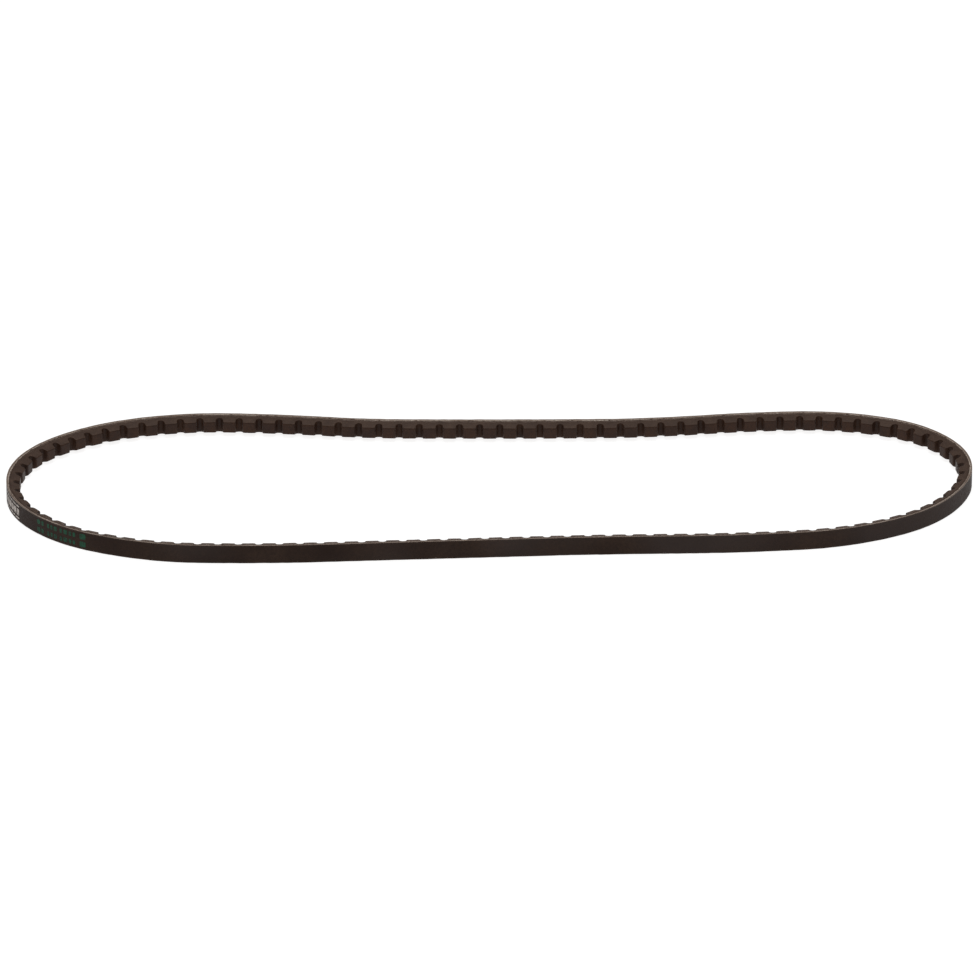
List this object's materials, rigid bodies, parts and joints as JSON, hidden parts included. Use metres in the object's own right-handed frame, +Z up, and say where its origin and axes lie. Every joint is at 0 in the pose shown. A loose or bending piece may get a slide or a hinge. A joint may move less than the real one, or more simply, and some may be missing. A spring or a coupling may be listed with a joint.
{
  "type": "raw-edge cogged v belt",
  "caption": "Endless narrow V belt with raw cut flanks and moulded cogs on its inner face, lying on its side as a long open loop; drives V pulleys.",
  "frame": {"origin": "under the middle of the loop's outline, on the surface that the belt lies on", "axes": "+X along the loop, +Y across it towards the far strand, +Z up across the belt's width"},
  "size_m": [0.498, 0.1594, 0.01],
  "materials": {
    "back_fabric": "rubbered weave, matte",
    "cushion_rubber": "matte",
    "tensile_cord": "twisted polyester cord, cut and fuzzy at the flank",
    "compression_rubber": "ground and moulded, matte",
    "label_film": "transfer film, scuffed",
    "mark_film": "transfer ink, worn"
  },
  "bodies": {
    "root": {"back_fabric_outer_ply": "back_fabric", "back_fabric_inner_ply": "back_fabric", "tensile_cord_lap_1": "tensile_cord", "tensile_cord_lap_2": "tensile_cord", "tensile_cord_lap_3": "tensile_cord", "tensile_cord_lap_4": "tensile_cord", "tensile_cord_lap_5": "tensile_cord", "tensile_cord_lap_6": "tensile_cord", "tensile_cord_lap_7": "tensile_cord", "tensile_cord_lap_8": "tensile_cord", "cushion_rubber_above_cord": "cushion_rubber", "cushion_rubber_below_cord": "cushion_rubber", "cogged_compression_rubber": "compression_rubber", "label_film": "label_film", "upper_mark_film": "mark_film", "lower_mark_film": "mark_film"}
  },
  "joints": []
}
